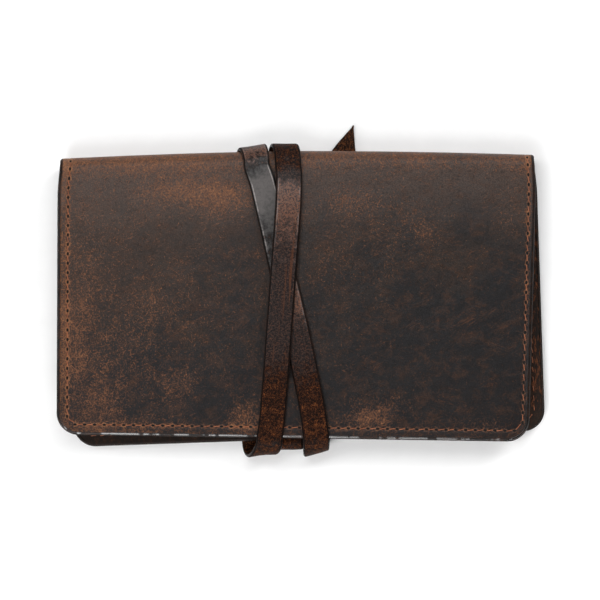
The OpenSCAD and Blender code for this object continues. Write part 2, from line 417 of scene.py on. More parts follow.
def on_back_lining(x, across, z):
    """A point of the pocket, which lies square to the back leaf, on the back lining."""
    y = -POCKET_T + across
    c, s = math.cos(SKEW), math.sin(SKEW)
    floor = Z_BACK + SHELL_T
    return np.stack([x * c - y * s, Y_BEND + x * s + y * c, floor + z + 0 * x], axis=-1)


def slot_height(across, along):
    """Height of the pocket's underside over the lining: a row of soft half tubes, sewn flat between them."""
    local = (across + POCKET_HALF - POCKET_MARGIN) / SLOT_PITCH
    inside = (local > 0) & (local < SLOT_N)
    phase = np.clip(np.abs((local % 1) - 0.5) * 2, 0, 1)
    bulge = np.clip(1 - (phase / 0.86) ** 2.6, 0, 1) ** 0.62
    closed = smooth_step(0.5, 14, along) ** 0.7
    soft = 1 - 0.05 * np.sin(along / 11 + np.floor(local) * 1.9) * smooth_step(10, 40, along)
    return np.where(inside, SLOT_H * bulge * closed * soft, 0)


def brush_pocket():
    """The slotted panel as one closed skin: outer face, inner face, and a rounded rim all round."""
    along = np.concatenate([np.linspace(0, 14, 12)[:-1], np.linspace(14, POCKET_LEN, 60)])
    sewn_half = POCKET_HALF - POCKET_MARGIN + 1.5
    across = np.linspace(-sewn_half, sewn_half, SLOT_N * 18 + 1)
    across = np.concatenate([[-POCKET_HALF], across, [POCKET_HALF]])
    a, c = np.meshgrid(along, across, indexing="ij")
    mouth = smooth_step(POCKET_LEN - 20, POCKET_LEN, a)
    under = slot_height(c, a)
    a = a + mouth * (0.5 * np.sin(c / 9) - 0.18 * under)
    rows, cols = a.shape
    outer = on_back_lining(POCKET_X + a, c, under + POCKET_WALL)
    inner = on_back_lining(POCKET_X + a, c, under + 0.02)
    verts = np.concatenate([outer.reshape(-1, 3), inner.reshape(-1, 3)])
    pattern = np.concatenate([np.stack([a, c, np.full(a.shape, h)], axis=-1).reshape(-1, 3)
                              for h in (0.0, POCKET_WALL)])
    index = np.arange(rows * cols).reshape(rows, cols)
    loop = np.concatenate([index[0, :], index[1:, -1], index[-1, -2::-1], index[-2:0:-1, 0]])
    nxt = np.roll(loop, -1)
    rim = np.stack([loop, loop + rows * cols, nxt + rows * cols, nxt], axis=-1)
    faces = np.concatenate([grid_faces(rows, cols, 0), grid_faces(rows, cols, rows * cols, flip=True), rim])
    obj = make_object("brush_pocket_leather", verts, faces, pattern)
    bevel = obj.modifiers.new("rounded rim", "BEVEL")
    bevel.width, bevel.segments = 0.45 * MM, 3
    bevel.limit_method, bevel.angle_limit = "ANGLE", math.radians(50)
    apply_modifiers(obj)
    return obj


def slot_thread():
    """The rows of stitches between the slots, on top of the pocket's flats."""
    rng = np.random.default_rng(5)
    paths = []
    pitch = (POCKET_LEN - 4) / SLOT_STITCHES
    for row in range(SLOT_N + 1):
        across = -POCKET_HALF + POCKET_MARGIN + row * SLOT_PITCH
        for k in range(SLOT_STITCHES):
            start = 3.0 + k * pitch
            slant = 0.16 + 0.05 * rng.standard_normal()
            path = stitch_path((start, across), (start + pitch, across), slant, 0.26, 0.6)
            path[:, 2] += POCKET_WALL
            paths.append(path)
    points, faces, marks = tubes(paths, THREAD_R)
    points[:, 0] += POCKET_X
    return make_object("slot_thread", on_back_lining(*points.T), faces, marks)


# ------------ strap
STRAP_GAP = 0.12    # between the front leaf and the strap that lies on it
LO = STRAP_T / 2 + 0.03                         # height of the strap's middle, under the case
ROOT = Z_BACK + SHELL_T + 0.25 + STRAP_T / 2    # and on the back lining, where it is sewn
UP = 100.0          # heights from here up are counted from the front leaf's own surface

# The strap's route from its sewn root to its tip: x, y, z, turn of its width in plan, roll, wear.
ROOT_RUN = [(-5, -56, ROOT, 0, 0, 0.5), (-5, -66, ROOT, 0, 0, 0.7), (-5, -75.4, ROOT, 0, 0, 0.9)]
RISE_1 = [
    (-5, -75.4, LO, 0, 0, 0.9), (-5.2, -50, LO, 0, 0, 0.4), (-6.2, 10, LO, 0, 0, 0.4),
    (-8.4, 62, LO, 0, 0, 0.85),
]
FRONT_B = [
    (-4.6, 62.5, UP + 0.1, 0, -2, 0.84), (-4.2, 58, UP + 0.5, -1, -4, 0.66),
    (-4.2, 53, UP + 1.1, -1, -5, 0.44), (-4.7, 42, UP + 1.9, -2, -4, 0.36),
    (-5.9, 27, UP + 2.05, -3.5, -2, 0.48), (-7.5, 8, UP + 2.05, -4.5, 0, 0.58),
    (-9.0, -10, UP + 2.05, -5, 0, 0.60), (-10.5, -28, UP + 2.05, -5, 2, 0.67),
    (-11.3, -38, UP + 1.4, -5, 4, 0.77), (-12, -46, UP + 0.6, -5, 3, 0.86),
    (-12.8, -54, UP + 0.15, -5, 1, 0.94), (-13.6, -63, UP, -6, 0, 1.0), (-15, -73, UP, -5, 0, 0.90),
]
RISE_2 = [
    (-22.4, -75.4, LO, 15, 0, 0.9), (-24.0, -66, LO, 12, 0, 0.5), (-24.6, -50, LO, 3, 0, 0.4),
    (-24.8, 0, LO, 0, 0, 0.5), (-24.6, 62, LO, 3, 0, 0.9),
]
# On front A the wear near the fold is least, which also gives the strap its painted sheen there: light grey,
# darkening downwards.
FRONT_A = [
    (-20.3, 62.5, UP, 15, 0, 0.20), (-17.6, 54, UP, 14, 0, 0.02), (-15.1, 43, UP, 13, 0, 0.07),
    (-12.6, 32, UP, 12.5, 0, 0.15), (-7.4, 7, UP, 12, 0, 0.22), (-0.7, -23, UP, 12, 0, 0.58),
    (2.1, -37, UP, 11, 0, 0.74), (4.4, -49, UP, 10, 0, 0.86), (6.4, -60, UP, 9, 0, 0.94),
    (7.6, -69, UP, 10, 0, 0.97), (8, -73, UP, 14, 0, 0.88),
]
RISE_3 = [
    (8.3, -75.4, LO, 16, 0, 0.9), (10.0, -66, LO, -1, 0, 0.5), (12.3, -30, LO, -4, 0, 0.4),
    (15.5, 10, LO, -7, 0, 0.4), (20.5, 50, LO, -11, 0, 0.9), (23.4, 68.0, LO, -15, 0, 0.96),
]
TIP = (28.4, 83.1, LO, -17, 0, 0.96)
TIP_LENGTH = 15.4
FLOOR_GAP = 0.02    # the lowest that the strap may reach


def half_turn(p, q, reach, steps=9):
    """Stations of the strap round an edge of the case, from p to q, reaching out by reach in y."""
    p, q = np.array(p, float), np.array(q, float)
    out = []
    for k in range(1, steps):
        s = k / steps
        c = (1 - math.cos(math.pi * s)) / 2
        station = p + (q - p) * c
        station[1] = p[1] + (q[1] - p[1]) * s + reach * math.sin(math.pi * s)
        station[3] = p[3] + (q[3] - p[3]) * s
        out.append(tuple(station))
    return out


def settled(stations):
    """Stations with any height counted from the front leaf turned into a height over the floor."""
    out = []
    for x, y, z, *rest in stations:
        if z >= UP:
            z = Z_TOP + float(lift(x, Y_BEND - y, 1)) + STRAP_GAP + STRAP_T / 2 + (z - UP)
        out.append((x, y, z, *rest))
    return out


def strap_route():
    """All stations: each leg after the half turn that leads into it, which reaches out by its own amount."""
    route = list(ROOT_RUN)
    for reach, leg in ((-3.1, RISE_1), (10.5, FRONT_B), (-7.0, RISE_2), (9.5, FRONT_A), (-6.6, RISE_3)):
        leg = settled(leg)
        route += half_turn(route[-1], leg[0], reach) + leg
    return route + [TIP]


def between(p, q, at_p, at_q, at):
    """The value at one place on the line through p and q."""
    return (at_q - at) / (at_q - at_p) * p + (at - at_p) / (at_q - at_p) * q


def spline(points, step):
    """A centripetal Catmull-Rom curve through the points' first three values, resampled every step mm."""
    points = np.asarray(points, float)
    padded = np.vstack([2 * points[0] - points[1], points, 2 * points[-1] - points[-2]])
    knots = np.concatenate([[0], np.cumsum(np.linalg.norm(np.diff(padded[:, :3], axis=0), axis=1) ** 0.5)])
    out = []
    for i in range(1, len(padded) - 2):
        p0, p1, p2, p3 = padded[i - 1:i + 3]
        k0, k1, k2, k3 = knots[i - 1:i + 3]
        for k in np.linspace(k1, k2, 13)[:-1]:
            a1, a2, a3 = between(p0, p1, k0, k1, k), between(p1, p2, k1, k2, k), between(p2, p3, k2, k3, k)
            b1, b2 = between(a1, a2, k0, k2, k), between(a2, a3, k1, k3, k)
            out.append(between(b1, b2, k1, k2, k))
    out.append(padded[-2])
    out = np.array(out)
    run = np.concatenate([[0], np.cumsum(np.linalg.norm(np.diff(out[:, :3], axis=0), axis=1))])
    even = np.linspace(0, run[-1], int(run[-1] / step) + 1)
    return np.column_stack([np.interp(even, run, out[:, k]) for k in range(out.shape[1])]), even


def strap_section():
    """The strap's section as (across, deep) points: slightly crowned, with rounded edges."""
    r = STRAP_EDGE_R
    half_w, half_t = STRAP_W / 2, STRAP_T / 2
    top = [(x, half_t + 0.16 * (1 - (x / half_w) ** 2)) for x in np.linspace(-half_w + r, half_w - r, 13)]
    right = []
    for centre_z, degrees in ((half_t - r, (20, 40, 60, 80)), (r - half_t, (100, 120, 140, 160))):
        right += [(half_w - r + r * math.sin(a), centre_z + r * math.cos(a)) for a in np.radians(degrees)]
    bottom = [(x, -half_t) for x in np.linspace(half_w - r, -half_w + r, 9)]
    left = [(-x, z) for x, z in right[::-1]]
    return np.array(top + right + bottom + left)


def strap():
    """The whole strap, swept along its route and cut to a point at its tip."""
    path, run = spline(strap_route(), 1.5)
    centre = path[:, :3]
    along = np.gradient(centre, axis=0)
    along /= np.linalg.norm(along, axis=1, keepdims=True)
    turn, roll = np.radians(path[:, 3]), np.radians(path[:, 4])
    flat = np.column_stack([np.cos(turn), np.sin(turn), 0 * turn])
    face = np.cross(along, flat)
    face /= np.linalg.norm(face, axis=1, keepdims=True)
    across = np.cross(face, along)
    tilt_across = across * np.cos(roll)[:, None] + face * np.sin(roll)[:, None]
    tilt_face = face * np.cos(roll)[:, None] - across * np.sin(roll)[:, None]
    section = strap_section()
    left_over = run[-1] - run
    share = np.clip(left_over / TIP_LENGTH, 0.05, 1)
    rows, cols = len(centre), len(section)
    narrow = np.where(left_over < TIP_LENGTH, share, 1)
    verts = (centre[:, None] + tilt_across[:, None] * (section[None, :, 0] * narrow[:, None])[..., None]
             + tilt_face[:, None] * section[None, :, 1, None])
    pattern = np.stack(np.broadcast_arrays(section[None, :, 0] * narrow[:, None], run[:, None],
                                           section[None, :, 1]), axis=-1)
    faces = [tuple(f) for f in grid_faces(rows, cols, wrap=True)]
    faces += [tuple(range(cols))[::-1], tuple((rows - 1) * cols + i for i in range(cols))]
    middle = (section + np.roll(section, -1, axis=0)) / 2
    on_edge = np.abs(middle[:, 0]) > STRAP_W / 2 - 0.45 * STRAP_EDGE_R
    painted = np.concatenate([np.tile(on_edge, rows - 1), [True, True]])
    wear = np.broadcast_to(path[:, 5][:, None], (rows, cols))
    verts[..., 2] = np.maximum(verts[..., 2], FLOOR_GAP)
    return make_object("wound_strap", verts.reshape(-1, 3), faces, pattern.reshape(-1, 3), wear=wear.ravel(),
                       second=painted)


def strap_stitches():
    """The box of stitches that holds the strap's root to the lining."""
    corners = [(-9.6, -57.2), (-0.4, -57.2), (-0.4, -67.2), (-9.6, -67.2), (-9.6, -57.2)]
    paths = []
    for (x0, y0), (x1, y1) in zip(corners[:-1], corners[1:]):
        for k in range(2):
            a = (x0 + (x1 - x0) * k / 2, y0 + (y1 - y0) * k / 2)
            b = (x0 + (x1 - x0) * (k + 1) / 2, y0 + (y1 - y0) * (k + 1) / 2)
            path = stitch_path(a, b, 0.15, 0.26, 0.7)
            path[:, 2] += ROOT + STRAP_T / 2 + 0.05
            paths.append(path)
    points, faces, marks = tubes(paths, THREAD_R)
    return make_object("strap_root_thread", points, faces, marks)


def apply_modifiers(obj):
    """Replaces an object's mesh with what its modifiers make of it."""
    evaluated = obj.evaluated_get(bpy.context.evaluated_depsgraph_get())
    mesh = bpy.data.meshes.new_from_object(evaluated)
    obj.modifiers.clear()
    obj.data = mesh


# ------------ material nodes
class Shader:
    """Short calls for building one material's node tree."""

    def __init__(self, name):
        self.material = bpy.data.materials.new(name)
        self.material.use_nodes = True
        self.tree = self.material.node_tree
        self.bsdf = self.tree.nodes["Principled BSDF"]

    def node(self, kind, inputs=None, **settings):
        made = self.tree.nodes.new(kind)
        for key, value in settings.items():
            setattr(made, key, value)
        for key, value in (inputs or {}).items():
            self.feed(made.inputs[key], value)
        return made

    def feed(self, socket, value):
        if isinstance(value, bpy.types.NodeSocket):
            self.tree.links.new(value, socket)
        else:
            socket.default_value = value

    def attribute(self, name, output="Vector"):
        return self.node("ShaderNodeAttribute", attribute_name=name).outputs[output]

    def math(self, operation, a, b=0.0, clamp=False):
        made = self.node("ShaderNodeMath", {0: a, 1: b}, operation=operation, use_clamp=clamp)
        return made.outputs[0]

    def plus(self, a, b):
        return self.math("ADD", a, b)

    def minus(self, a, b):
        return self.math("SUBTRACT", a, b)

    def times(self, a, b):
        return self.math("MULTIPLY", a, b)

    def total(self, *values):
        result = values[0]
        for value in values[1:]:
            result = self.plus(result, value)
        return result

    def weighted(self, *pairs):
        """The sum of value * weight over the pairs."""
        return self.total(*(self.times(value, weight) for value, weight in pairs))

    def larger(self, a, b):
        return self.math("MAXIMUM", a, b)

    def absolute(self, a):
        return self.math("ABSOLUTE", a)

    def split(self, vector):
        made = self.node("ShaderNodeSeparateXYZ", {0: vector})
        return made.outputs[0], made.outputs[1], made.outputs[2]

    def scaled(self, vector, scale=(1, 1, 1), turn=0.0, shift=(0, 0, 0)):
        """The vector turned about z, then moved, then scaled along the turned axes."""
        turned = self.node("ShaderNodeMapping", {"Vector": vector, "Location": shift,
                                                 "Rotation": (0, 0, math.radians(turn))})
        return self.node("ShaderNodeMapping", {"Vector": turned.outputs[0], "Scale": scale}).outputs[0]

    def warped(self, vector, scale, amount):
        """The vector pushed about by noise, by up to half of amount each way."""
        noise = self.node("ShaderNodeTexNoise", {"Vector": vector, "Scale": scale, "Detail": 2.0})
        push = self.node("ShaderNodeVectorMath", {0: noise.outputs["Color"], 1: (0.5, 0.5, 0.5)},
                         operation="SUBTRACT")
        push = self.node("ShaderNodeVectorMath", {0: push.outputs[0], "Scale": amount}, operation="SCALE")
        return self.node("ShaderNodeVectorMath", {0: vector, 1: push.outputs[0]}, operation="ADD").outputs[0]

    def noise(self, vector, scale, detail=3.0, rough=0.5, distort=0.0):
        made = self.node("ShaderNodeTexNoise", {"Vector": vector, "Scale": scale, "Detail": detail,
                                                "Roughness": rough, "Distortion": distort})
        return made.outputs["Fac"]

    def cells(self, vector, scale, feature="F1"):
        made = self.node("ShaderNodeTexVoronoi", {"Vector": vector, "Scale": scale}, feature=feature)
        return made.outputs["Distance"]

    def step(self, value, low, high):
        """0 below low, 1 above high, smooth between; low above high turns it round."""
        made = self.node("ShaderNodeMapRange", {"Value": value, "From Min": low, "From Max": high},
                         interpolation_type="SMOOTHSTEP")
        return made.outputs["Result"]

    def span(self, value, at_0, at_1):
        """at_0 where value is 0 and at_1 where it is 1, straight between."""
        made = self.node("ShaderNodeMapRange", {"Value": value, "To Min": at_0, "To Max": at_1})
        return made.outputs["Result"]

    def mix(self, share, a, b):
        """The colour a where share is 0 and b where it is 1."""
        made = self.node("ShaderNodeMix", data_type="RGBA", clamp_factor=True)
        for socket, value in ((0, share), (6, a), (7, b)):
            self.feed(made.inputs[socket], value)
        return made.outputs[2]

    def paint(self, base, mask, strength, over):
        """The colour over laid on base where mask is 1, as strongly as strength says."""
        return self.mix(self.times(mask, strength), base, over)

    def bump(self, height, strength, distance, normal=None):
        made = self.node("ShaderNodeBump", {"Height": height, "Strength": strength, "Distance": distance})
        if normal is not None:
            self.feed(made.inputs["Normal"], normal)
        return made.outputs[0]

    def finish(self, colour, rough, normal, specular, coat=0.0, coat_rough=0.2, coat_ior=1.5, sheen=0.0):
        """The material. All but its colour, roughness, normal and coat weight are constants."""
        for name, value in (("Base Color", colour), ("Roughness", rough), ("Normal", normal),
                            ("Specular IOR Level", specular), ("Coat Weight", coat),
                            ("Coat Roughness", coat_rough), ("Coat IOR", coat_ior), ("Sheen Weight", sheen)):
            self.feed(self.bsdf.inputs[name], value)
        return self.material


def colour(red, green, blue):
    """An sRGB colour, 0 to 255, as the linear colour that a shader takes."""
    out = []
    for value in (red, green, blue):
        v = value / 255
        out.append(v / 12.92 if v <= 0.04045 else ((v + 0.055) / 1.055) ** 2.4)
    return (*out, 1.0)


CHARCOAL = colour(21, 19, 21)
DARK_BROWN = colour(41, 31, 26)
MID_BROWN = colour(60, 44, 35)
RUST = colour(106, 64, 37)
TAN = colour(160, 108, 68)
BURNISHED = colour(26, 17, 13)
NEAR_BLACK = colour(7, 5, 4)


def scratches(s, vector, turn, scale, width, cover):
    """Thin curved hairline marks: contour lines of a stretched noise, broken up by a second noise."""
    stretched = s.scaled(vector, scale=scale, turn=turn)
    field = s.noise(stretched, 1.0, 3.0, 0.5, 1.4)
    line = s.step(s.absolute(s.minus(field, 0.5)), width, 0.0)
    patch = s.step(s.noise(s.scaled(vector, shift=(turn, 3 * turn, 0)), 0.055, 3.0), cover, cover + 0.12)
    return s.times(line, patch)


def streaks(s, vector, turns, length, width):
    """Short hatch marks lying in several directions: the strongest of a few stretched noises."""
    found = None
    for k, turn in enumerate(turns):
        stretched = s.scaled(vector, scale=(1 / length, 1 / width, 1), turn=turn, shift=(13.0 * k, 0, 0))
        field = s.noise(stretched, 1.0, 2.0, 0.55)
        found = field if found is None else s.larger(found, field)
    return found


def leaf_edge(s, x, t):
    """Distance inside the leaf's rounded outline, in millimetres."""
    a = s.minus(s.absolute(x), LEAF_W / 2 - CORNER_R)
    b = s.minus(t, LEAF_D - CORNER_R)
    a_out, b_out = s.larger(a, 0.0), s.larger(b, 0.0)
    beyond = s.math("SQRT", s.plus(s.times(a_out, a_out), s.times(b_out, b_out)))
    within = s.math("MINIMUM", s.larger(a, b), 0.0)
    return s.minus(CORNER_R, s.plus(beyond, within))


HOLE_HALF_LENGTH, HOLE_HALF_WIDTH = 0.95, 0.60


def seam_marks(s, x, t, side):
    """(distance from the row of stitches, awl holes, pulled-up rings round them), spaced like the thread."""
    x = s.minus(x, side * SEAM_SHIFT)
    a = s.minus(s.absolute(x), SEAM_X)
    b = s.minus(t, SEAM_T)
    turn = s.times(s.total(a, b, SEAM_TURN), 1 / math.sqrt(2))
    distance = s.absolute(s.larger(s.larger(a, b), turn))

    def hole_row(off_line, along, pitch, gate):
        from_hole = s.times(s.math("PINGPONG", s.math("DIVIDE", along, pitch), 0.5), pitch)
        run = s.math("DIVIDE", from_hole, HOLE_HALF_LENGTH)
        off = s.math("DIVIDE", off_line, HOLE_HALF_WIDTH)
        radius = s.math("SQRT", s.plus(s.times(run, run), s.times(off, off)))
        return (s.times(s.step(radius, 1.25, 0.75), gate),
                s.times(s.step(radius, 2.4, 1.1), gate))

    side_along = s.minus(SEAM_T - SEAM_TURN, t)
    foot_along = s.minus(SEAM_X - SEAM_TURN, s.absolute(x))
    side_gate = s.math("GREATER_THAN", side_along, -0.8)
    foot_gate = s.math("GREATER_THAN", foot_along, -0.8)
    side_hole, side_ring = hole_row(a, side_along, SIDE_PITCH, side_gate)
    foot_hole, foot_ring = hole_row(b, foot_along, FOOT_PITCH, foot_gate)
    return distance, s.larger(side_hole, foot_hole), s.larger(side_ring, foot_ring)


def hide_material(leaf, side):
    """Oily pull-up hide: charcoal and brown clouds, rust speckle and hairlines, worn folds, burnished rim;
    painted sheen by the fold, painted shade towards the free edge, and painted shade in its awl holes.
    """
    s = Shader(f"{leaf}_hide_leather")
    vector = s.attribute("pattern")
    worn_here = s.attribute("wear", "Fac")
    x, t, h = s.split(vector)
    edge = leaf_edge(s, x, t)
    seam, holes, rings = seam_marks(s, x, t, side)

    cloud = s.noise(vector, 0.014, 3.0, 0.55, 0.4)
    blotch = s.noise(s.scaled(vector, scale=(1, 0.8, 1), shift=(40, 7, 0)), 0.055, 4.0, 0.6, 0.5)
    patch = s.noise(s.scaled(vector, shift=(9, 31, 0)), 0.20, 4.0, 0.6, 0.6)
    mottle = s.noise(vector, 0.75, 4.0, 0.7, 0.2)
    speck = s.noise(vector, 1.25, 3.0, 0.7)
    hatch = streaks(s, vector, (15, 62, -48, 95), 4.2, 0.8)
    across = s.math("DIVIDE", x, LEAF_W)

    # painted light: the tone is lighter at the fold and darker towards the free edge, as the light falls on
    # the leaf; it is also lighter towards the left, and clouds, patches and worn places vary it at random
    tone = s.weighted((cloud, 0.9), (blotch, 0.95), (patch, 0.55), (mottle, 0.50), (across, -0.40),
                      (worn_here, 0.34), (s.math("DIVIDE", t, LEAF_D), -0.62), (s.step(t, 26.0, -4.0), 0.24))
    tone = s.minus(tone, 0.13)
    base = s.mix(s.step(tone, 0.80, 1.25), CHARCOAL, DARK_BROWN)
    base = s.paint(base, s.step(tone, 1.12, 1.60), 0.75, MID_BROWN)
    # painted sheen: a grey haze over the leaf below the fold
    base = s.paint(base, s.step(t, 46.0, -6.0), 0.24, colour(104, 86, 78))
    warm_cloud = s.noise(s.scaled(vector, scale=(1, 1.3, 1), shift=(23, 47, 0)), 0.13, 5.0, 0.7, 0.6)
    warm = s.weighted((warm_cloud, 1.0), (speck, 0.34), (hatch, 0.34))
    base = s.paint(base, s.step(warm, 0.825, 1.03), 0.55, colour(62, 39, 26))
    soot = s.weighted((s.noise(s.scaled(vector, shift=(71, 19, 0)), 0.55, 4.0, 0.7), 0.7), (patch, 0.35))
    base = s.paint(base, s.step(soot, 0.50, 0.66), 0.55, NEAR_BLACK)

    fine = s.noise(s.scaled(vector, shift=(17, 3, 0)), 1.5, 3.0, 0.75)
    base = s.paint(base, s.step(fine, 0.57, 0.42), 0.52, NEAR_BLACK)

    fold = s.step(t, 9.0, -5.0)
    rim_band = s.step(edge, 9.0, 1.5)
    seam_band = s.step(seam, 2.2, 0.2)
    hairs = s.larger(scratches(s, vector, 32, (0.045, 0.28, 1), 0.014, 0.50),
                     scratches(s, vector, -14, (0.035, 0.33, 1), 0.013, 0.52))
    share = s.weighted((worn_here, 0.42), (fold, 0.20), (rim_band, 0.10), (seam_band, 0.04), (rings, 0.21),
                       (blotch, 0.24), (patch, 0.22), (across, -0.12))
    drive = s.weighted((share, 1.0), (speck, 0.80), (hatch, 0.98), (mottle, 0.35))
    pulled = s.step(drive, 1.475, 1.63)
    tan = s.step(drive, 1.62, 1.84)
    calm = s.span(s.step(tone, 0.65, 1.05), 0.45, 1.0)
    base = s.mix(s.times(s.times(pulled, 0.58), calm), base, RUST)
    base = s.mix(s.times(s.times(tan, 0.42), calm), base, TAN)
    base = s.paint(base, hairs, 0.30, RUST)

    rim = s.step(edge, 0.95, 0.20)
    base = s.paint(base, rim, 0.75, BURNISHED)
    inner = s.step(h, HIDE_T * 0.72, HIDE_T * 0.9)
    base = s.paint(base, inner, 0.8, DARK_BROWN)
    # painted shade: the awl holes are painted near black, for the shade inside them
    base = s.mix(holes, base, NEAR_BLACK)

    rough = s.weighted((pulled, 0.12), (s.noise(vector, 0.9, 3.0), 0.16), (cloud, -0.10), (rim, -0.26))
    rough = s.larger(s.plus(rough, 0.38), s.times(holes, 0.9))

    grain = s.cells(vector, 1.35)
    pores = s.noise(vector, 3.2, 3.0, 0.6)
    relief = s.weighted((grain, 0.35), (pores, 0.5), (mottle, 0.5), (holes, -3.0))
    soft = s.bump(s.noise(vector, 0.11, 3.0, 0.5), 0.35, 0.9 * MM)
    normal = s.bump(relief, 0.5, 0.16 * MM, soft)
    return s.finish(base, rough, normal, specular=0.32)


def strap_material():
    """Waxed strap leather, by its wear: 0 smooth, 0.35 pale and mottled, 0.6 dusty, 0.9 crazed into rust;
    painted sheen greys the smooth and pale parts, a painted highlight runs along its edges, and painted shade
    darkens its rim.
    """
    s = Shader("strap_leather")
    vector = s.attribute("pattern")
    x, along, deep = s.split(vector)
    warp = s.warped(vector, 1.1, 1.5)
    cracks = s.cells(s.scaled(warp, scale=(1.0, 0.8, 1.0)), 0.80, "DISTANCE_TO_EDGE")
    fine_cracks = s.cells(s.warped(vector, 1.8, 0.8), 1.45, "DISTANCE_TO_EDGE")
    cover = s.noise(vector, 0.32, 4.0, 0.65)
    worn = s.plus(s.attribute("wear", "Fac"), s.span(cover, -0.19, 0.19))
    speck = s.noise(vector, 2.6, 3.0, 0.65)
    mottle = s.noise(vector, 0.95, 4.0, 0.7)
    edge = s.minus(STRAP_W / 2, s.absolute(x))
    rim = s.step(edge, 1.05, 0.65)
    # painted highlight: a light line along each edge's bevel, broken in places, brightest where the strap is
    # waxed
    highlight_gap_noise = s.noise(s.scaled(vector, scale=(1, 0.5, 1), shift=(8, 2, 0)), 0.22, 4.0, 0.7)
    highlight_unbroken = s.step(highlight_gap_noise, 0.40, 0.56)
    painted_edge_highlight = s.times(s.times(s.step(edge, 0.95, 1.15), s.step(edge, 1.70, 1.30)), highlight_unbroken)

    # which kind of surface is here, by wear
    smooth_part = s.step(worn, 0.24, 0.12)
    crazed = s.step(worn, 0.70, 0.92)
    pale = s.times(s.step(worn, 0.20, 0.28), s.step(worn, 0.58, 0.38))

    open_here = s.weighted((worn, 0.26), (cover, 0.36), (speck, 0.20))
    coarse = s.step(s.weighted((open_here, 1.0), (cracks, -1.25)), 0.485, 0.53)
    fine = s.step(s.weighted((open_here, 1.0), (fine_cracks, -1.3)), 0.485, 0.54)
    veins = s.larger(coarse, s.times(0.6, fine))
    veins = s.times(veins, s.span(crazed, 0.35, 0.85))
    rubbed = s.times(s.step(worn, 0.18, 0.30), s.span(crazed, 1.0, 0.75))
    rubbed = s.times(rubbed, s.span(pale, 0.85, 1.0))
    middling = s.times(s.step(worn, 0.38, 0.52), s.step(worn, 0.86, 0.66))
    dust = s.weighted((speck, 0.8), (mottle, 0.6), (middling, -0.045), (pale, 0.05))
    specks = s.times(rubbed, s.step(dust, 0.68, 0.82))
    stretched = s.noise(s.scaled(vector, scale=(0.42, 0.014, 1), shift=(31, 4, 0)), 1.0, 3.0, 0.6)
    stretched = s.times(s.step(stretched, 0.60, 0.68), middling)
    rust = s.larger(veins, s.times(specks, 0.8))
    rust = s.larger(rust, s.times(stretched, 0.55))
    # its colour, from the ground up
    base = s.mix(s.step(mottle, 0.38, 0.62), colour(5, 3, 3), colour(16, 11, 9))
    # the pale parts: mottled frost in the leather, greyed further by painted sheen
    frosted_and_sheen = s.mix(s.step(mottle, 0.42, 0.56), colour(30, 24, 23), colour(80, 68, 64))
    base = s.paint(base, pale, 0.85, frosted_and_sheen)
    grainy = s.weighted((mottle, 0.4), (speck, 0.6))
    dusty = s.mix(s.step(grainy, 0.42, 0.58), colour(22, 18, 17), colour(52, 46, 45))
    base = s.paint(base, middling, 0.7, dusty)
    # painted sheen: the smooth waxed strap is painted light grey where its wear is least, darkening as the
    # wear grows
    painted_waxy_sheen = s.mix(s.step(worn, 0.02, 0.18), colour(74, 69, 67), colour(26, 22, 21))
    base = s.paint(base, smooth_part, 0.85, painted_waxy_sheen)
    base = s.paint(base, rust, 0.82, colour(100, 55, 29))
    bright = s.step(s.weighted((rust, 0.7), (speck, 0.8)), 0.92, 1.25)
    base = s.paint(base, bright, 0.6, colour(160, 94, 48))
    waxed = s.weighted((smooth_part, 0.9), (pale, 0.35))
    # painted highlight along the strap's edges
    base = s.mix(s.math("MULTIPLY", painted_edge_highlight, waxed, True), base, colour(138, 131, 128))
    # dark rim: the strap's burnished edge, widened by painted shade along its sides
    base = s.paint(base, rim, 0.95, colour(8, 5, 4))
    nap = s.step(s.weighted((speck, 0.6), (mottle, 0.6)), 0.56, 0.74)
    flesh = s.mix(nap, colour(20, 14, 11), colour(104, 62, 36))
    base = s.paint(base, s.step(deep, -0.35, -0.7), 0.8, flesh)
    base = s.paint(base, s.step(mottle, 0.54, 0.40), 0.30, colour(12, 9, 8))
    rough = s.plus(0.36, s.weighted((rust, 0.20), (speck, 0.10), (crazed, 0.10)))
    relief = s.weighted((veins, -0.8), (speck, 0.4), (mottle, 0.4))
    normal = s.bump(relief, 0.55, 0.16 * MM)
    gloss = s.weighted((smooth_part, 0.66), (pale, 0.30), (s.minus(1.0, crazed), 0.12))
    gloss = s.times(gloss, s.span(rim, 1.0, 0.1))
    return s.finish(base, rough, normal, specular=0.05, coat=gloss, coat_rough=0.36, coat_ior=1.7)


def edge_material(name, coat_ior, coat):
    """Burnished edge paint: near black, and polished in places at the shoulder above a leaf's free edge."""
    s = Shader(name)
    vector = s.attribute("pattern")
    x, t, h = s.split(vector)
    worn = s.noise(s.scaled(vector, scale=(1, 1, 0.2)), 0.16, 4.0, 0.65)
    grit = s.noise(vector, 1.6, 3.0, 0.6)
    rubbed = s.step(s.weighted((worn, 0.5), (grit, 0.5)), 0.46, 0.64)
    base = s.mix(rubbed, colour(9, 6, 5), colour(50, 28, 17))
    shoulder = s.step(h, 0.72, 0.34)
    at_foot = s.span(s.step(t, LEAF_D - 12, LEAF_D - 3), 0.14, 1.0)
    breaks = s.noise(s.scaled(vector, scale=(1, 0.4, 0.2), shift=(5, 0, 0)), 0.055, 3.0, 0.7)
    broken = s.step(breaks, 0.47, 0.51)
    polish = s.times(s.times(shoulder, at_foot), s.span(broken, 0.08, 1.0))
    gloss = s.times(polish, coat) if coat else 0.0
    rough = s.span(polish, 0.5, 0.16)
    normal = s.bump(s.weighted((worn, 1.0), (grit, 0.12)), 0.25, 0.25 * MM)
    return s.finish(base, rough, normal, specular=0.12, coat=gloss, coat_rough=0.12, coat_ior=coat_ior)


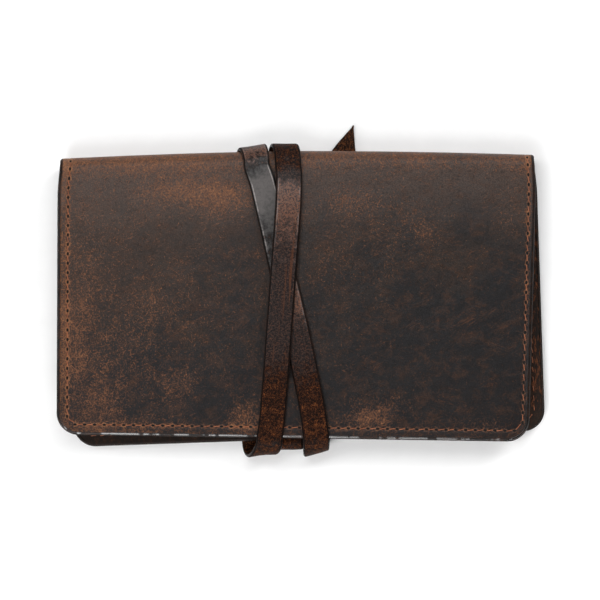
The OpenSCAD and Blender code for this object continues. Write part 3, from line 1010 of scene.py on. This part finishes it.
def lining_material(name, dark, light, grain_scale, on_leaf):
    """Inner leather: a soft, slightly napped face with cloudy handling marks and fine grain.

    on_leaf is 1 for a piece in a leaf's pattern coordinates, which has a dark border, or 0. The border is
    handled and burnished dark, and partly painted shade where a leaf lies over it."""
    s = Shader(name)
    vector = s.attribute("pattern")
    x, t, h = s.split(vector)
    cloud = s.noise(vector, 0.03, 4.0, 0.6)
    mottle = s.noise(vector, 0.5, 5.0, 0.65)
    nap = s.noise(s.scaled(vector, scale=(1, 0.35, 1)), 3.0, 4.0, 0.7)
    tone = s.weighted((cloud, 0.6), (mottle, 0.35), (nap, 0.25))
    base = s.mix(s.step(tone, 0.42, 0.80), dark, light)
    marks = scratches(s, vector, 20, (0.04, 0.3, 1), 0.014, 0.5)
    base = s.paint(base, marks, 0.35, RUST)
    speck = s.step(s.weighted((s.noise(vector, 1.2, 3.0, 0.7), 1.0), (mottle, 0.9)), 0.94, 1.16)
    base = s.paint(base, speck, 0.55, RUST)
    edge = leaf_edge(s, x, t)
    handled = s.noise(s.scaled(vector, scale=(1, 0.3, 1), shift=(3, 8, 0)), 0.9, 4.0, 0.7)
    # painted shade: by the foot the rubbed marks give way to the border's black
    outside_foot_shade = s.span(s.step(t, LEAF_D - 14, LEAF_D - 9), 1.0, 0.12)
    rubbed = s.times(s.step(handled, 0.50, 0.66), outside_foot_shade)
    # dark border: handled and burnished dark, and partly painted shade
    border = s.mix(rubbed, NEAR_BLACK, colour(110, 60, 30))
    base = s.paint(base, s.step(edge, 10.0, 5.0), 0.75 * on_leaf, border)
    base = s.mix(s.times(s.step(edge, 1.4, 0.3), on_leaf), base, BURNISHED)
    rough = s.plus(0.60, s.times(nap, 0.20))
    relief = s.weighted((s.cells(vector, grain_scale), 0.4), (nap, 0.6))
    normal = s.bump(relief, 0.5, 0.12 * MM, s.bump(cloud, 0.3, 0.8 * MM))
    return s.finish(base, rough, normal, specular=0.20, sheen=0.04)


def thread_material():
    """Waxed rust thread: twisted strands, dark where it enters a hole."""
    s = Shader("waxed_thread")
    turn, run, number = s.split(s.attribute("pattern"))
    twist = s.weighted((turn, 2.0), (run, 34.0))
    strand = s.absolute(s.math("SINE", twist))
    tint = s.math("FRACT", s.times(number, 0.377))
    base = s.mix(tint, colour(118, 65, 38), colour(150, 88, 55))
    # painted shade in the grooves between the strands
    base = s.paint(base, s.step(strand, 0.5, 0.0), 0.6, colour(58, 28, 17))
    # painted shade where the thread dives into a hole
    ends = s.step(s.absolute(s.minus(run, 0.5)), 0.26, 0.44)
    base = s.paint(base, ends, 0.85, colour(24, 13, 9))
    normal = s.bump(strand, 0.6, 0.10 * MM)
    return s.finish(base, 0.55, normal, specular=0.4)


def floor_material():
    s = Shader("paper_floor")
    spots = s.noise(s.node("ShaderNodeTexCoord").outputs["Object"], 90.0, 3.0)
    base = s.mix(s.step(spots, 0.2, 0.8), (0.93, 0.93, 0.93, 1), (0.95, 0.95, 0.95, 1))
    return s.finish(base, 0.9, s.bump(spots, 0.05, 0.1 * MM), specular=0.1)


# ------------ the pieces
def dress(obj, slot, *materials):
    """Gives a piece its materials, in the order of its faces' material numbers. Its slot is not used."""
    for material in materials:
        obj.data.materials.append(material)
    return obj


def bend_over_spine(obj, side):
    """Bakes a leaf piece's transform into its mesh, the same way for either side."""
    if side > 0:
        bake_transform(obj)
    else:
        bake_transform(obj)


strap_leather = strap_material()
edge_paint = edge_material("edge_paint", 1.8, 1.0)
strap_edge = edge_material("strap_edge", 1.5, 0.0)
lining_leather = lining_material("lining_leather", colour(27, 19, 15), colour(62, 43, 31), 1.2, 1)
pocket_leather = lining_material("pocket_leather", colour(40, 27, 20), colour(90, 58, 39), 1.0, 0)
thread = thread_material()

LEAVES = [("front", 1, FRONT_WEAR, ["front_cover", "spine_cover"], ["front_lining", "spine_lining"]),
          ("back", -1, BACK_WEAR, ["back_cover"], ["back_lining"])]

for leaf, side, wear_places, hide_nodes, lining_nodes in LEAVES:
    # name, top of the layer, thickness, inset, outer and inner rounding, groove, material, nodes
    layers = [
        ("hide", 0.0, HIDE_T, 0.0, 1.4, 0.35, 1.0, hide_material(leaf, side), hide_nodes),
        ("lining", HIDE_T, LINING_T, 0.5, 0.2, 0.45, 0.0, lining_leather, lining_nodes),
    ]
    for layer, top_h, thick, inset, r_top, r_bottom, grooved, material, nodes in layers:
        piece = leaf_sheet(f"{leaf}_{layer}_leather", side, top_h, thick, inset, r_top, r_bottom,
                           wear_places, grooved)
        dress(piece, layer, material, edge_paint)
        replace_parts(piece, *nodes)
        bend_over_spine(piece, side)
    sewing = dress(leaf_thread(f"{leaf}_thread", side), "thread", thread)
    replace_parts(sewing, *(["front_seam_thread", "spine_thread"] if side > 0 else ["back_seam_thread"]))
    bend_over_spine(sewing, side)

for piece, node in (
    (dress(brush_pocket(), "pocket_hide", pocket_leather), "brush_pocket"),
    (dress(slot_thread(), "thread", thread), "slot_seam_thread"),
    (dress(strap_stitches(), "thread", thread), "strap_anchor_thread"),
    (dress(strap(), "strap_hide", strap_leather, strap_edge), "strap"),
):
    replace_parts(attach(piece, "back"), node)
    if node == "strap":
        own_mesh(piece)


# ------------ floor, light and camera
def stage_floor():
    mesh = bpy.data.meshes.new("floor")
    half = 3.0
    corners = [(-half, -half, 0), (half, -half, 0), (half, half, 0), (-half, half, 0)]
    mesh.from_pydata(corners, [], [(0, 1, 2, 3)])
    floor = new_object("floor", mesh)
    floor.data.materials.append(floor_material())


def area_light(name, position, target, size, power):
    data = bpy.data.lights.new(name, "AREA")
    data.shape, data.size, data.size_y, data.energy = "RECTANGLE", size[0], size[1], power
    lamp = new_object(name, data)
    lamp.location = position
    lamp.visible_camera = False
    lamp.rotation_euler = (Vector(target) - Vector(position)).to_track_quat("-Z", "Y").to_euler()


def camera(centre, elevation, roll, distance, view_width):
    """A long lens that looks down at centre from elevation degrees and sees view_width metres there."""
    data = bpy.data.cameras.new("camera")
    data.sensor_width = 36
    data.lens = 36 * distance / view_width
    data.clip_start, data.clip_end = 0.05, 20
    cam = new_object("camera", data)
    e = math.radians(elevation)
    back = Vector((0, -math.cos(e), math.sin(e)))
    up = Vector((math.sin(math.radians(roll)), math.cos(math.radians(roll)), 0))
    up = (up - up.dot(back) * back).normalized()
    right = up.cross(back)
    rotation = Matrix((right, up, back)).transposed()
    cam.matrix_world = Matrix.Translation(Vector(centre) + back * distance) @ rotation.to_4x4()
    bpy.context.scene.camera = cam


def studio_world():
    """A pale room, bright low down and dim overhead, so that dark leather keeps its depth from above."""
    world = bpy.data.worlds.new("studio")
    world.use_nodes = True
    tree = world.node_tree
    direction = tree.nodes.new("ShaderNodeTexCoord").outputs["Generated"]
    split = tree.nodes.new("ShaderNodeSeparateXYZ")
    tree.links.new(direction, split.inputs[0])
    height = tree.nodes.new("ShaderNodeMapRange")
    height.interpolation_type = "SMOOTHSTEP"
    for name, value in (("From Min", 0.05), ("From Max", 0.60), ("To Min", 1.0), ("To Max", 0.08)):
        height.inputs[name].default_value = value
    tree.links.new(split.outputs["Z"], height.inputs["Value"])
    background = tree.nodes["Background"]
    background.inputs["Color"].default_value = (1, 1, 1, 1)
    tree.links.new(height.outputs["Result"], background.inputs["Strength"])
    bpy.context.scene.world = world
    bpy.context.scene.view_settings.view_transform = "Standard"


stage_floor()
studio_world()
aim = (0, 0, 0.01)
area_light("key", (1.10, 1.00, 0.95), aim, (0.8, 0.6), 19.0)
area_light("overhead", (-0.12, 0.30, 0.70), aim, (0.8, 0.3), 2.4)
area_light("foot_strip", (-0.15, -1.20, 0.70), aim, (1.2, 0.22), 8.5)
area_light("left_strip", (-1.30, 0.15, 0.55), aim, (1.0, 0.4), 3.5)
area_light("fill", (-0.50, -0.95, 0.95), aim, (0.9, 0.9), 11.0)

camera(centre=(0.0007, -0.0051, Z_TOP * MM), elevation=87.0, roll=0.55, distance=4.0, view_width=0.300)
